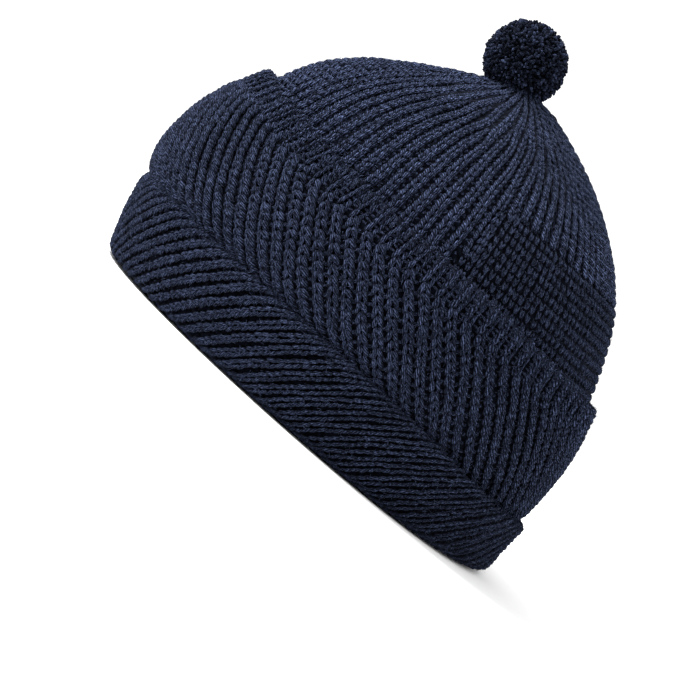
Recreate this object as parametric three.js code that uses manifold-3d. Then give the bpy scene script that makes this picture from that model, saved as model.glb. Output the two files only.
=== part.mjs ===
import * as THREE from "three";
import { mergeVertices } from "three/addons/utils/BufferGeometryUtils.js";
import Module from "manifold-3d";

// A thick knitted cap with two turned-up tiers and a pompom, in millimetres. It stands on its rim with
// +Z up. The forehead faces -Y, the nape +Y and the wearer's left ear +X. Every knit layer is given as
// a distance out from the crown's outer face.

// Crown
const crownLength = 220; // greatest length, forehead to nape
const crownWidth = 188; // greatest width, ear to ear
const crownHeight = 181; // from the rim to the top
const crownWall = 4;
const gatherForward = 12.8; // the gather lies this far in front of the middle
const napeFullness = 0.05; // share by which a section is wider behind its middle than in front

// Band, the upper turned-up tier, one layer round the crown
const bandWall = 5;
const bandFront = 110; // height of its top edge at the forehead
const bandSide = 100;
const bandBack = 92;
const bandLip = 4; // height over which the outer face rounds into its top edge
const bandCrest = 0.5; // share of the wall, from inside, at which the top edge is highest
const bandRoll = 0.6; // how far the rolled edge stands out
const puffFront = 6.5; // how far the slack knit stands off the crown at the forehead
const puffBack = 4;

// Cuff, the lower turned-up tier, a double layer, and the fold under the rim
const cuffWall = 7.5;
const cuffFront = 37;
const cuffSide = 38.5;
const cuffBack = 28.5;
const cuffLip = 6;
const cuffCrest = 0.35;
const cuffRoll = 0.6;
const foldWall = 4; // thickness of the fold that the rim rests on
const foldRound = 6; // rounding between the fold and the cuff's outer face
const foldInset = 1.5; // rounding at the fold's inner edge

// Ribs
const ribCount = 84;
const ribDepth = 1.5;
const cuffLean = 51; // degrees; going up, the ribs run toward the nape on the wearer's left
const bandLean = -37; // the other way on the band
const bandEdgeLean = 10; // and back again below its top edge
const bandBend = 0.74; // share of the band's height at which its ribs bend
const ribsJoined = 2; // ribs that join into one high on the crown

// Pompom
const pompomRadius = 19.8;
const pompomCore = 17;
const pompomLean = 58; // degrees forward of upright
const pompomSink = 4.4; // how far it settles into the gather
const lockCount = 54;
const lockTip = 2.7;
const lockRoot = 3.6;
const lockSides = 4;

const clearance = 0.3; // between neighbouring knit layers

// Mesh fineness
const plainColumns = 48; // round a face with no ribs
const topColumns = 24; // round the inside of the gather
const plugStep = 0.25; // rows of SECTIONS between the rings of the plug that trims the pompom
const slopeStep = 1e-3; // rows and radians over which a slope is taken
const weldDistance = 1e-4;

const NAVY = 0x232a3f;
const DARK_NAVY = 0x191e30;
const FULL_TURN = 2 * Math.PI;

// Sections of the crown's outer face from the rim to the top, as shares: up of crownHeight, forward of
// gatherForward, length and width of half of crownLength and crownWidth
const SECTIONS = [
  { up: 0, forward: 0.06, length: 0.925, width: 0.915 },
  { up: 0.122, forward: 0.35, length: 0.958, width: 0.941 },
  { up: 0.243, forward: 0.53, length: 0.99, width: 0.977 },
  { up: 0.365, forward: 0.6, length: 1, width: 0.998 },
  { up: 0.486, forward: 0.61, length: 0.978, width: 0.996 },
  { up: 0.597, forward: 0.59, length: 0.912, width: 0.952 },
  { up: 0.696, forward: 0.58, length: 0.829, width: 0.864 },
  { up: 0.779, forward: 0.54, length: 0.713, width: 0.744 },
  { up: 0.848, forward: 0.46, length: 0.569, width: 0.596 },
  { up: 0.906, forward: 0.45, length: 0.419, width: 0.442 },
  { up: 0.953, forward: 0.52, length: 0.264, width: 0.282 },
  { up: 0.988, forward: 0.84, length: 0.126, width: 0.134 },
  { up: 1, forward: 1, length: 0, width: 0 },
];
const TOP_ROW = SECTIONS.length - 1;
const UPRIGHT_ROW = 3; // layers lie level up to this section
const SLOPING_ROW = 6; // and square to the crown from this one
const JOIN_ROW = 7; // where ribs join

// Where the rings of the mesh lie: on the crown as rows of SECTIONS, on a tier's face as shares of its
// height, and on a rounded edge as degrees from the face that they belong to
const JOINED_RIB_ROWS = [7.5, 8.3, 9.1, 9.9];
const GATHER_ROWS = [10.7, 11.5];
const LINING_ROWS = [11.2, 10.2, 9.2, 8.2, 7.2, 6, 4.6, 3.2, 1.8];
const GATHER_LINING_ROWS = 2; // how many of the lining's rows lie inside the gather
const FACE_SHARES = [0, 0.5, 1];
const COVERED_SHARES = [0.12, 0.4, 0.75];
const BAND_SHARES = [0, 0.05, 0.25, 0.5, bandBend];
const CUFF_SHARES = [0, 0.35, 0.7];
const OUTER_EDGE_DEGREES = 50;
const INNER_EDGE_DEGREES = 40;

// How far the band stands off the crown between the cuff's top edge and its own
const PUFF = [
  { up: 0, share: 0.12 },
  { up: 0.05, share: 0.6 },
  { up: 0.12, share: 0.9 },
  { up: 0.25, share: 1 },
  { up: 0.55, share: 0.72 },
  { up: 0.8, share: 0.25 },
  { up: 1, share: 0 },
];

const { lerp, smoothstep, degToRad } = THREE.MathUtils;

function column(name, row) {
  const at = Math.min(Math.floor(row), TOP_ROW - 1);
  const value = (k) => {
    if (k < 0) return 2 * SECTIONS[0][name] - SECTIONS[1][name];
    if (k > TOP_ROW) return 2 * SECTIONS[TOP_ROW][name] - SECTIONS[TOP_ROW - 1][name];
    return SECTIONS[k][name];
  };
  const [a, b, c, d] = [value(at - 1), value(at), value(at + 1), value(at + 2)];
  const t = row - at;
  return b + 0.5 * t * (c - a + t * (2 * a - 5 * b + 4 * c - d + t * (3 * (b - c) + d - a)));
}

function rowAt(height) {
  let low = 0;
  let high = TOP_ROW;
  while (high - low > 1e-9) {
    const middle = (low + high) / 2;
    if (crownHeight * column("up", middle) < height) low = middle;
    else high = middle;
  }
  return (low + high) / 2;
}

// Equal steps of the angle become equal steps along the oval
function ovalAngle(angle) {
  const long = crownLength ** 2;
  const wide = crownWidth ** 2;
  return angle - ((long - wide) / (long + wide) / 4) * Math.sin(2 * angle);
}

function crownPoint(row, angle) {
  const turn = ovalAngle(angle);
  const halfLength = (crownLength / 2) * column("length", row);
  const halfWidth = (crownWidth / 2) * column("width", row) * (1 + napeFullness * Math.sin(turn));
  return new THREE.Vector3(
    halfWidth * Math.cos(turn),
    halfLength * Math.sin(turn) - gatherForward * column("forward", row),
    crownHeight * column("up", row),
  );
}

function outward(row, angle) {
  const low = Math.max(row - slopeStep, 0);
  const high = Math.min(row + slopeStep, TOP_ROW - slopeStep);
  const around = crownPoint(row, angle + slopeStep).sub(crownPoint(row, angle - slopeStep));
  const upward = crownPoint(high, angle).sub(crownPoint(low, angle));
  const normal = around.cross(upward).normalize();
  normal.z *= smoothstep(row, UPRIGHT_ROW, SLOPING_ROW);
  return normal.normalize();
}

function layerPoint(row, angle, out) {
  return crownPoint(row, angle).addScaledVector(outward(row, angle), out);
}

// A height that has its own value at the forehead, the ears and the nape
function tierHeight(front, side, back) {
  return (angle) => {
    const toNape = Math.sin(ovalAngle(angle));
    return lerp(side, toNape < 0 ? front : back, toNape ** 2);
  };
}

const bandTop = tierHeight(bandFront, bandSide, bandBack);
const cuffTop = tierHeight(cuffFront, cuffSide, cuffBack);

function puff(angle, height) {
  const up = (height - cuffTop(angle)) / (bandTop(angle) - cuffTop(angle));
  if (up < 0 || up > 1) return 0;
  const next = Math.max(1, PUFF.findIndex((mark) => mark.up >= up));
  const [low, high] = [PUFF[next - 1], PUFF[next]];
  const share = lerp(low.share, high.share, (up - low.up) / (high.up - low.up));
  return share * lerp(puffFront, puffBack, (1 + Math.sin(ovalAngle(angle))) / 2);
}

// The turn about the axis that a rib makes while it rises
function ribTurn(rise, leanDegrees) {
  const meanRadius = (crownLength + crownWidth) / 4 + bandWall;
  return (rise * Math.tan(degToRad(leanDegrees))) / meanRadius;
}

// A ring of points round the cap. With a groove, even points lie on a rib and odd ones between two.
function ring({ columns, row, out, turn = 0, groove = 0 }) {
  const points = [];
  for (let i = 0; i < columns; i++) {
    const angle = turn + (i / columns) * FULL_TURN;
    points.push(layerPoint(row(angle), angle, out(angle) - (i % 2) * groove));
  }
  return { turn, points };
}

// The same, at a height that may change with the angle
function levelRing({ height, ...rest }) {
  return ring({ ...rest, row: (angle) => rowAt(height(angle)) });
}

function plainRing(height, out) {
  return levelRing({ columns: plainColumns, height, out });
}

function pole(point) {
  return { turn: 0, points: [point] };
}

// Triangles between two rings, of which the second comes next on the way up an outer face
function strip(low, high) {
  const [m, n] = [low.points.length, high.points.length];
  const shift = m === n ? 0 : ((low.turn - high.turn) / FULL_TURN) * n;
  const first = Math.round(shift);
  const offset = (first - shift) / n;
  const triangles = [];
  for (let i = 0, j = 0; i < m || j < n; ) {
    const here = low.points[i % m];
    const there = high.points[(((first + j) % n) + n) % n];
    if (j === n || (i < m && (i + 1) / m <= (j + 1) / n + offset)) {
      i += 1;
      if (m > 1) triangles.push([here, low.points[i % m], there]);
    } else {
      j += 1;
      if (n > 1) triangles.push([here, high.points[(((first + j) % n) + n) % n], there]);
    }
  }
  return triangles;
}

// The closed skin through rings that run up an outer face, over its edge and down the inner face
function skin(rings) {
  const triangles = rings.flatMap((low, k) => strip(low, rings[(k + 1) % rings.length]));
  const geometry = new THREE.BufferGeometry().setFromPoints(triangles.flat());
  return mergeVertices(geometry, weldDistance);
}

const constant = (value) => () => value;
const between = (low, high, share) => (angle) => lerp(low(angle), high(angle), share);
const below = (height, drop) => (angle) => height(angle) - drop;

// Distances of the layers out from the crown's outer face
const bandIn = clearance;
const bandOut = bandIn + bandWall;
const cuffIn = bandOut + clearance;
const cuffOut = cuffIn + cuffWall;

const layerFoot = constant(foldWall + clearance);
const cuffShoulder = below(cuffTop, cuffLip / 2);
const bandShoulder = below(bandTop, bandLip / 2);
const ribColumns = 2 * ribCount;

// The rounded top edge of a tier, from its outer face to its inner one
function lipRings({ top, lip, crest, inner, outer, turnBelowTop }) {
  const highest = lerp(inner, outer, crest);
  const edge = (side, degrees) => ({
    height: below(top, (side === inner ? lip / 2 : lip) * (1 - Math.sin(degToRad(degrees)))),
    out: constant(lerp(highest, side, Math.cos(degToRad(degrees)))),
  });
  return [
    levelRing({ ...edge(outer, 0), columns: ribColumns, turn: turnBelowTop(lip), groove: ribDepth }),
    levelRing({ ...edge(outer, OUTER_EDGE_DEGREES), columns: ribColumns, turn: turnBelowTop(0), groove: ribDepth / 2 }),
    levelRing({ ...edge(outer, 90), columns: plainColumns }),
    levelRing({ ...edge(inner, INNER_EDGE_DEGREES), columns: plainColumns }),
    levelRing({ ...edge(inner, 0), columns: plainColumns }),
  ];
}

// Heights at which the crown's covered face and the band's inner face lie side by side
const coveredLevels = [
  layerFoot,
  between(layerFoot, cuffShoulder, 0.5),
  cuffShoulder,
  ...COVERED_SHARES.map((share) => between(cuffTop, bandTop, share)),
  bandShoulder,
];

function crownGeometry() {
  const inside = constant(-crownWall);
  const fromBand = (share) => (angle) => lerp(rowAt(bandTop(angle) - bandLip / 4), JOIN_ROW, share);
  const joinedColumns = ribColumns / ribsJoined;
  const joinedTurn = FULL_TURN / ribColumns;
  const full = FACE_SHARES.map((share) =>
    ring({ columns: ribColumns, row: fromBand(share), out: constant(0), groove: ribDepth }),
  );
  const joined = JOINED_RIB_ROWS.map((row) =>
    ring({
      columns: joinedColumns,
      row: constant(row),
      out: constant(0),
      turn: joinedTurn,
      groove: ribDepth,
    }),
  );
  const top = GATHER_ROWS.map((row) =>
    ring({ columns: topColumns, row: constant(row), out: constant(0) }),
  );
  const lining = LINING_ROWS.map((row, k) =>
    ring({
      columns: k < GATHER_LINING_ROWS ? topColumns : plainColumns,
      row: constant(row),
      out: inside,
    }),
  );
  const summit = crownPoint(TOP_ROW, 0);
  return skin([
    ...coveredLevels.map((height) => plainRing(height, constant(0))),
    ...full,
    ...joined,
    ...top,
    pole(summit),
    pole(summit.clone().setZ(summit.z - crownWall)),
    ...lining,
    plainRing(layerFoot, inside),
  ]);
}

function bandGeometry() {
  const rise = bandSide - cuffSide;
  const ribbed = BAND_SHARES.map((share) => {
    const height = between(cuffTop, bandTop, share);
    return levelRing({
      columns: ribColumns,
      turn: ribTurn(share * rise, bandLean),
      height,
      out: (angle) => bandOut + puff(angle, height(angle)),
      groove: ribDepth,
    });
  });
  const bendTurn = ribTurn(bandBend * rise, bandLean);
  const covered = FACE_SHARES.map((share) =>
    plainRing(between(layerFoot, cuffShoulder, share), constant(bandOut)),
  );
  const inner = coveredLevels
    .slice(0, -1)
    .reverse()
    .map((height) => plainRing(height, (angle) => bandIn + puff(angle, height(angle))));
  return skin([
    ...covered,
    ...ribbed,
    ...lipRings({
      top: bandTop,
      lip: bandLip,
      crest: bandCrest,
      inner: bandIn,
      outer: bandOut + bandRoll,
      turnBelowTop: (drop) => bendTurn + ribTurn((1 - bandBend) * rise - drop, bandEdgeLean),
    }),
    ...inner,
  ]);
}

function cuffGeometry() {
  const ribbed = CUFF_SHARES.map((share) => {
    const height = between(constant(foldRound), cuffTop, share);
    return levelRing({
      columns: ribColumns,
      turn: ribTurn(share * (cuffSide - foldRound), cuffLean),
      height,
      out: constant(cuffOut),
      groove: ribDepth,
    });
  });
  const foldEdge = -crownWall;
  return skin([
    plainRing(constant(0), constant(foldEdge + foldInset)),
    plainRing(constant(0), constant(cuffOut - foldRound)),
    levelRing({
      columns: ribColumns,
      turn: 0,
      height: constant(foldRound * (1 - Math.SQRT1_2)),
      out: constant(cuffOut - foldRound * (1 - Math.SQRT1_2)),
      groove: ribDepth / 2,
    }),
    ...ribbed,
    ...lipRings({
      top: cuffTop,
      lip: cuffLip,
      crest: cuffCrest,
      inner: cuffIn,
      outer: cuffOut + cuffRoll,
      turnBelowTop: (drop) => ribTurn(cuffSide - foldRound - drop, cuffLean),
    }),
    plainRing(between(layerFoot, cuffShoulder, 0.5), constant(cuffIn)),
    plainRing(constant(foldWall), constant(cuffIn)),
    plainRing(constant(foldWall), constant(foldEdge)),
    plainRing(constant(foldInset), constant(foldEdge)),
  ]);
}

const wasm = await Module();
wasm.setup();

function toManifold(geometry) {
  const bare = geometry.clone();
  bare.deleteAttribute("normal");
  bare.deleteAttribute("uv");
  const merged = mergeVertices(bare, weldDistance);
  return new wasm.Manifold(
    new wasm.Mesh({
      numProp: 3,
      vertProperties: new Float32Array(merged.attributes.position.array),
      triVerts: new Uint32Array(merged.index.array),
    }),
  );
}

function fromManifold(solid) {
  const mesh = solid.getMesh();
  const geometry = new THREE.BufferGeometry();
  geometry.setAttribute("position", new THREE.BufferAttribute(mesh.vertProperties, 3));
  geometry.setIndex(new THREE.BufferAttribute(mesh.triVerts, 1));
  return geometry;
}

// The crown's outer face with the clearance added, as a plug to trim what sits on it
function crownPlug() {
  const rings = [];
  for (let row = JOIN_ROW; row < TOP_ROW; row += plugStep) {
    rings.push(ring({ columns: plainColumns, row: constant(row), out: constant(clearance) }));
  }
  const base = crownPoint(JOIN_ROW, 0);
  const summit = crownPoint(TOP_ROW, 0);
  return skin([
    pole(new THREE.Vector3(0, summit.y, base.z)),
    ...rings,
    pole(summit.clone().setZ(summit.z + clearance)),
  ]);
}

function pompomGeometry() {
  const lean = degToRad(pompomLean);
  const reach = pompomRadius - pompomSink;
  const centre = crownPoint(TOP_ROW, 0).add(
    new THREE.Vector3(0, -reach * Math.sin(lean), reach * Math.cos(lean)),
  );
  const goldenAngle = Math.PI * (3 - Math.sqrt(5));
  let ball = toManifold(new THREE.IcosahedronGeometry(pompomCore, 1));
  for (let k = 0; k < lockCount; k++) {
    const height = 1 - (2 * k + 1) / lockCount;
    const across = Math.sqrt(1 - height ** 2);
    const toward = new THREE.Vector3(
      across * Math.cos(k * goldenAngle),
      across * Math.sin(k * goldenAngle),
      height,
    );
    const lock = new THREE.CylinderGeometry(lockTip, lockRoot, pompomRadius, lockSides);
    lock.translate(0, pompomRadius / 2, 0);
    lock.applyQuaternion(new THREE.Quaternion().setFromUnitVectors(new THREE.Vector3(0, 1, 0), toward));
    ball = ball.add(toManifold(lock));
  }
  const placed = ball.translate(centre.toArray());
  return fromManifold(placed.subtract(toManifold(crownPlug())));
}

function knit(name, geometry, color) {
  geometry.computeVertexNormals();
  const mesh = new THREE.Mesh(
    geometry,
    new THREE.MeshStandardMaterial({ color, roughness: 0.95, metalness: 0, flatShading: true }),
  );
  mesh.name = name;
  return mesh;
}

const cap = new THREE.Group();
cap.add(
  knit("crown", crownGeometry(), NAVY),
  knit("band", bandGeometry(), NAVY),
  knit("cuff", cuffGeometry(), NAVY),
  knit("pompom", pompomGeometry(), DARK_NAVY),
);

// The origin lies under the middle of the whole cap, on the surface that it stands on
const bounds = new THREE.Box3().setFromObject(cap, true);
const middle = bounds.getCenter(new THREE.Vector3());
cap.position.set(-middle.x, -middle.y, -bounds.min.z);

export default cap;
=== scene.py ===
"""A thick rib-knit cap with two turned-up tiers and a pompom, dressed stitch by stitch.

Every knit layer is given, as in its solid, by its distance out from the crown's outer face. Angles
start at the wearer's left ear, +X, and grow toward the nape, +Y. All lengths are in metres.
"""

import math

import bmesh
import bpy
import numpy as np
from bpy.props import FloatProperty, FloatVectorProperty, IntProperty, PointerProperty
from mathutils import Matrix, Vector


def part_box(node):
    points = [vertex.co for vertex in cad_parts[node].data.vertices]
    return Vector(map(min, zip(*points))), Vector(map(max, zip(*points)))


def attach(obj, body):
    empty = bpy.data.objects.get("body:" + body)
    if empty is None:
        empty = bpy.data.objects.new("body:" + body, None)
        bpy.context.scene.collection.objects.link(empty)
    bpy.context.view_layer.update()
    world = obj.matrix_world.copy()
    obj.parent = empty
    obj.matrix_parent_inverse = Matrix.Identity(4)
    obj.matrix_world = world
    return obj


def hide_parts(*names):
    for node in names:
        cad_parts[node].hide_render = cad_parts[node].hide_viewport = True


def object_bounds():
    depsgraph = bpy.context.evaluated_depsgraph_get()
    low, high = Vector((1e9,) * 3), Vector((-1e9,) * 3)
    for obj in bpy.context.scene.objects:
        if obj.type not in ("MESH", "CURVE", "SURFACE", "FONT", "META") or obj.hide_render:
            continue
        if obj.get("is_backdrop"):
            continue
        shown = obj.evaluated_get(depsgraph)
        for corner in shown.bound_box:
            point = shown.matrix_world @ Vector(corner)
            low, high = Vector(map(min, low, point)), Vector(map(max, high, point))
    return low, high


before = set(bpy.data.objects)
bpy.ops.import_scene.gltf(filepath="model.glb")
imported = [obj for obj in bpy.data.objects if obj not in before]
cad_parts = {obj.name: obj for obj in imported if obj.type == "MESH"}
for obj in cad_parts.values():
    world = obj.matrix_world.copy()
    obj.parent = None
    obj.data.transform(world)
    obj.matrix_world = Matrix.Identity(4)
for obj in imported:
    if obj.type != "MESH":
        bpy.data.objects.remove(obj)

bl_info = {
    "name": "Rib-knit pompom cap",
    "version": (1, 0, 0),
    "blender": (4, 5, 0),
    "location": "View3D > Sidebar > Knit Cap",
    "description": "Dresses the solids of a knitted cap with stitches, a pompom and a studio",
    "category": "Object",
}

SOLID_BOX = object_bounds()
TURN = 2 * math.pi

# Crown. Its height comes from the frame, and how far back it reaches.
_, CROWN_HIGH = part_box("crown")
CROWN_LENGTH = 0.22
CROWN_WIDTH = 0.188
CROWN_HEIGHT = CROWN_HIGH.z
CROWN_WALL = 0.004
GATHER_FORWARD = 0.0128
NAPE_FULLNESS = 0.05

# Distances of the layers out from the crown's outer face
BAND_IN = 0.0003
BAND_OUT = 0.0053
CUFF_IN = 0.0056
CUFF_OUT = 0.0131
EDGE_ROLL = 0.0006  # how far the band's rolled edge stands out
BAND_FOOT = 0.0013  # and, at the nape, its foot above the cuff

# The fold that the cap rests on: its wall, the rounding of its inner and outer edges, and how much of the
# cuff's face, up from its inner end, belongs to it
FOLD_WALL = 0.004
FOLD_INSET = 0.0015
FOLD_ROUND = {"nape": 0.0065, "rest": 0.004}
FOLD_LENGTH = 0.024
LAYER_FOOT = FOLD_WALL + 0.0003  # the crown and the band start just above it

# Heights of the tiers' top edges at the forehead, the ears and the nape
BAND_TOP = {"front": 0.110, "side": 0.100, "back": 0.092}
CUFF_TOP = {"front": 0.037, "side": 0.0385, "back": 0.0285}

# Rounding of the top edges: the height over which the outer face falls away, and the share of the wall,
# from inside, at which an edge is highest
BAND_LIP = 0.004
BAND_CREST = 0.5
CUFF_LIP = 0.0085
CUFF_CREST = {"front": 0.14, "back": 0.8}
TURNED_IN = 0.012  # how far below its top edge the table of a tier's face starts, on the inner side

# What changes on the cuff from the forehead to the nape: its wall lies inside CUFF_OUT by drop, its
# stitches reach above CUFF_TOP by rise, and its edge lies inside the wall by tuck, its middle by waist
CUFF_SHIFTS = {
    "drop": (0.0012, 0),
    "rise": (0.0024, 0.0011),
    "lip": (CUFF_LIP, 0.25 * CUFF_LIP),
    "tuck": (0.0010, -0.0004),
    "waist": (0.0008, -0.0003),
}

# Sections of the crown's outer face from the rim to the top, as shares: up of its height, forward of
# GATHER_FORWARD, length and width of half of CROWN_LENGTH and CROWN_WIDTH
SECTIONS = [
    {"up": 0, "forward": 0.06, "length": 0.925, "width": 0.915},
    {"up": 0.122, "forward": 0.35, "length": 0.958, "width": 0.941},
    {"up": 0.243, "forward": 0.53, "length": 0.99, "width": 0.977},
    {"up": 0.365, "forward": 0.6, "length": 1, "width": 0.998},
    {"up": 0.486, "forward": 0.61, "length": 0.978, "width": 0.996},
    {"up": 0.597, "forward": 0.59, "length": 0.912, "width": 0.952},
    {"up": 0.696, "forward": 0.58, "length": 0.829, "width": 0.864},
    {"up": 0.779, "forward": 0.54, "length": 0.713, "width": 0.744},
    {"up": 0.848, "forward": 0.46, "length": 0.569, "width": 0.596},
    {"up": 0.906, "forward": 0.45, "length": 0.419, "width": 0.442},
    {"up": 0.953, "forward": 0.52, "length": 0.264, "width": 0.282},
    {"up": 0.988, "forward": 0.84, "length": 0.126, "width": 0.134},
    {"up": 1, "forward": 1, "length": 0, "width": 0},
]
TOP_ROW = len(SECTIONS) - 1
UPRIGHT_ROW = 3  # layers lie level up to this section
SLOPING_ROW = 6  # and square to the crown from this one

# How far the band stands off the crown between the cuff's top edge and its own: the most of it at the
# forehead and at the nape, and its shares on the way up
PUFF_FRONT = 0.0065
PUFF_BACK = 0.004
PUFF = [
    {"up": 0, "share": 0.12},
    {"up": 0.05, "share": 0.6},
    {"up": 0.12, "share": 0.9},
    {"up": 0.25, "share": 1},
    {"up": 0.55, "share": 0.72},
    {"up": 0.8, "share": 0.25},
    {"up": 1, "share": 0},
]

# Tables of a knit face: columns round it, the step along it and where the crown's starts
COLUMNS = 720
ANGLES = np.arange(COLUMNS) / COLUMNS * TURN
ALONG_STEP = 0.0003
CROWN_START = 0.084
PANEL_START = 0.03  # from here toward the nape, the crown's stitches are in a piece of their own

# Ribs. RIB_SPREAD is how far they crowd toward the forehead and the nape, in radians. A tier's radius
# turns their slant into an angle. They stray to either side by a share of their pitch, at a pace along
# their way and with a shift from one rib to the next. Their stitches start at a distance along the face,
# negative on the inner side of a tier's top edge, and end at a margin before the end of the face.
RIB_SPREAD = 0.025
TIERS = {
    "cuff": {"radius": 0.111, "stray": 0.04, "pace": 190, "shift": 2.4, "start": -0.006, "margin": 0.0025},
    "band": {"radius": 0.110, "stray": 0.05, "pace": 150, "shift": 1.9, "start": -0.008, "margin": 0.002},
    "crown": {"stray": 0.05, "pace": 170, "shift": 2.1, "start": 0.001, "margin": 0.004},
}

# Where every other rib of the crown runs into its neighbours, and nearer the top every other one again:
# the range of distances from the top, and the length over which a rib narrows
RIB_ENDS = [
    {"far": 0.067, "near": 0.040, "fade": 0.018},
    {"far": 0.029, "near": 0.0155, "fade": 0.010},
]

# The gather: how far forward of the top the ribs meet, how far those behind it fan out, in radians, and
# the distances from the top between which both fade
GATHER_LEAN = {"most": 0.005, "near": 0.01, "far": 0.09}
GATHER_FAN = {"most": 0.3, "near": 0.005, "far": 0.065}
DRIFT_STEP = 0.0005

# The two legs of a stitch in each part of the cap, as shares of the rib's width: their distance from its
# middle, how much further out their far ends go, and half their thickness
LEGS = {
    "cuff": {"middle": 0.17, "spread": 0.11, "radius": 0.185},
    "cuff_nape": {"middle": 0.25, "spread": 0.06, "radius": 0.165},
    "band": {"middle": 0.195, "spread": 0.13, "radius": 0.187},
    "band_nape": {"middle": 0.14, "spread": 0.07, "radius": 0.178},
    "band_brow": {"middle": 0.15, "spread": 0.085, "radius": 0.167},
    "band_edge": {"middle": 0.25, "spread": 0.03, "radius": 0.15},
    "crown": {"middle": 0.2, "spread": 0.13, "radius": 0.178},
    "crown_pulled": {"middle": 0.24, "spread": 0.12, "radius": 0.14},
    "crown_behind": {"middle": 0.14, "spread": 0.07, "radius": 0.18},
    "crown_gather": {"middle": 0.17, "spread": 0.08, "radius": 0.21},
    "flat_knit": {"middle": 0.082, "spread": 0.056, "radius": 0.09},
    "flat_join": {"middle": 0.09, "spread": 0.06, "radius": 0.095},
}

# Loose fibres: their lengths, half their width, and the least and the most that they stand up
FUZZ = {"short": 0.0010, "long": 0.0027, "thick": 0.00006, "flat": 0.4, "upright": 1.7}

WOOL = {
    "Sheen Weight": 0.04, "Sheen Roughness": 0.5, "Sheen Tint": (0.45, 0.55, 0.9, 1),
    "Specular IOR Level": 0.03,
}
FLOOR_RADIUS = 6
KEY_SIZE = 0.9
KEY_DISTANCE = 1.6


def named(table, name):
    return np.array([row[name] for row in table], float)


def smooth(value, low, high):
    """Goes from 0 at low to 1 at high."""
    t = np.clip((value - low) / (high - low), 0, 1)
    return t * t * (3 - 2 * t)


def lerp(a, b, t):
    return a + (b - a) * t


def unit(vectors):
    return vectors / np.maximum(np.linalg.norm(vectors, axis=-1, keepdims=True), 1e-12)


def steady(seed):
    return np.random.default_rng(seed)


# The cap's form


def oval_angle(angle):
    """Equal steps of the angle become equal steps along the oval."""
    long, wide = CROWN_LENGTH**2, CROWN_WIDTH**2
    return angle - (long - wide) / (long + wide) / 4 * np.sin(2 * angle)


def to_nape(angle):
    """0 at the forehead and 1 at the nape."""
    return (1 + np.sin(oval_angle(angle))) / 2


def column(name, row):
    """A smooth curve through one column of SECTIONS."""
    values = named(SECTIONS, name)
    padded = np.concatenate([[2 * values[0] - values[1]], values, [2 * values[-1] - values[-2]]])
    at = np.clip(np.floor(row).astype(int), 0, TOP_ROW - 1)
    a, b, c, d = (padded[at + k] for k in range(4))
    t = row - at
    return b + 0.5 * t * (c - a + t * (2 * a - 5 * b + 4 * c - d + t * (3 * (b - c) + d - a)))


ROWS = np.linspace(0, TOP_ROW, 2401)
HEIGHTS = CROWN_HEIGHT * column("up", ROWS)
FORWARD_SHIFT = CROWN_HIGH.y - np.max(
    CROWN_LENGTH / 2 * column("length", ROWS) - GATHER_FORWARD * column("forward", ROWS)
)


def crown_point(row, angle):
    row, angle = np.broadcast_arrays(np.asarray(row, float), np.asarray(angle, float))
    turn = oval_angle(angle)
    half_length = CROWN_LENGTH / 2 * column("length", row)
    half_width = CROWN_WIDTH / 2 * column("width", row) * (1 + NAPE_FULLNESS * np.sin(turn))
    forward = GATHER_FORWARD * column("forward", row) - FORWARD_SHIFT
    return np.stack(
        [half_width * np.cos(turn), half_length * np.sin(turn) - forward, CROWN_HEIGHT * column("up", row)],
        axis=-1,
    )


def outward(row, angle):
    step = 1e-3
    around = crown_point(row, angle + step) - crown_point(row, angle - step)
    above, below = np.minimum(row + step, TOP_ROW - step), np.maximum(row - step, 0)
    normal = unit(np.cross(around, crown_point(above, angle) - crown_point(below, angle)))
    normal[..., 2] *= smooth(row, UPRIGHT_ROW, SLOPING_ROW)
    return unit(normal)


def layer_point(height, angle, out):
    row = np.interp(height, HEIGHTS, ROWS)
    out = np.broadcast_to(out, row.shape)
    return crown_point(row, angle) + outward(row, angle) * out[..., None]


def tier_height(tops, angle):
    lengthwise = np.sin(oval_angle(angle))
    end = np.where(lengthwise < 0, tops["front"], tops["back"])
    return lerp(tops["side"], end, lengthwise**2)


def fold_round(angle):
    """Radius of the fold that the cap rests on. It is larger at the nape."""
    return lerp(FOLD_ROUND["rest"], FOLD_ROUND["nape"], smooth(np.sin(angle), 0.6, 0.95))


def puff(height, angle):
    low, high = tier_height(CUFF_TOP, angle), tier_height(BAND_TOP, angle)
    up = (height - low) / (high - low)
    share = np.interp(up, named(PUFF, "up"), named(PUFF, "share"))
    return share * (up > 0) * lerp(PUFF_FRONT, PUFF_BACK, to_nape(angle))


# Faces that stitches lie on


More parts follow.
